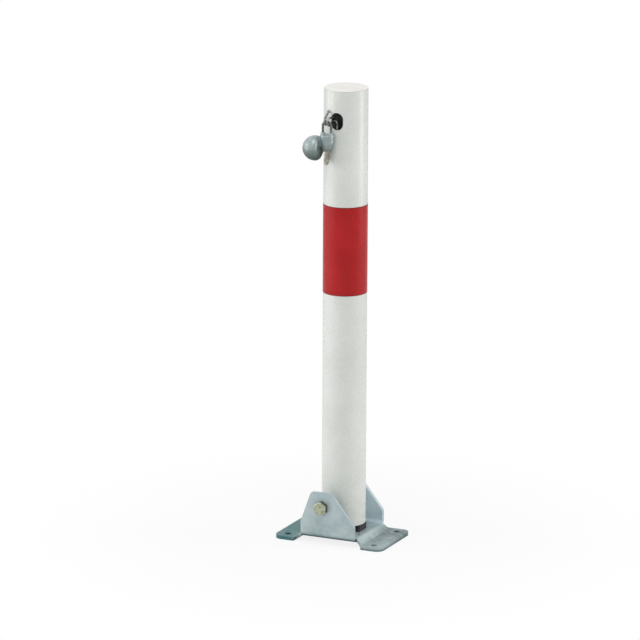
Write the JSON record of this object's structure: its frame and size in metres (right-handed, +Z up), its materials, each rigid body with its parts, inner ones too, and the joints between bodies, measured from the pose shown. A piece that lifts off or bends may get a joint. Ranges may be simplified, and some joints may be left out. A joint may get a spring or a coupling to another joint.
{
  "type": "fold-down bollard",
  "caption": "Fold-down parking bollard: a white steel post with a red band on a folded foot bracket, held up by a padlock on a staple.",
  "frame": {"origin": "on the ground at the middle of the foot holes", "axes": "+X along the bracket, -X is the way the post folds, -Y is the front with the slot and the padlock, +Z up the post"},
  "size_m": [0.16, 0.1225, 0.6276],
  "materials": {
    "zinc_sheet": "zinc-plated",
    "yellow_zinc": "yellow-passivated zinc",
    "nylon": "natural nylon",
    "black_rubber": "matte",
    "white_paint": "powder coat",
    "weld_paint": "powder coat over weld",
    "white_plastic": "moulded",
    "red_film": "glossy film",
    "chain_steel": "zinc-plated",
    "shackle_steel": "dark steel",
    "cast_zinc": "satin casting",
    "core_brass": "plain",
    "key_nickel": "nickel-plated"
  },
  "bodies": {
    "base": {"base_bracket": "zinc_sheet", "pivot_bolt": "yellow_zinc", "nut_washer": "yellow_zinc", "pivot_nut": "yellow_zinc", "nut_insert": "nylon", "stop_buffer": "black_rubber"},
    "post": {"post_tube": "white_paint", "pivot_sleeve": "white_paint", "front_sleeve_weld": "weld_paint", "back_sleeve_weld": "weld_paint", "post_cap": "white_plastic", "reflective_band": "red_film", "lock_staple": "chain_steel", "staple_welds": "weld_paint", "tie_link": "chain_steel", "tie_end_link": "chain_steel"},
    "shackle": {"lock_shackle": "shackle_steel"},
    "padlock": {"lock_body": "cast_zinc"},
    "key": {"lock_core": "core_brass", "lock_key": "key_nickel"}
  },
  "joints": [
    {"name": "post_tilt", "type": "hinge", "parent": "base", "child": "post", "pos_m": [-0.0085, 0, 0.0515], "axis": [0, -1, 0], "range_deg": [0, 90]},
    {"name": "lock_swing", "type": "hinge", "parent": "post", "child": "shackle", "pos_m": [-0.0089, -0.0375, 0.5842], "axis": [-1, 0, 0], "range_deg": [0, 40]},
    {"name": "lock_drop", "type": "slide", "parent": "shackle", "child": "padlock", "axis": [0, 0, -1], "range_m": [0, 0.008]},
    {"name": "key_turn", "type": "hinge", "parent": "padlock", "child": "key", "pos_m": [-0.0089, -0.0375, 0.545], "axis": [0, 0, 1], "range_deg": [0, 90]}
  ]
}
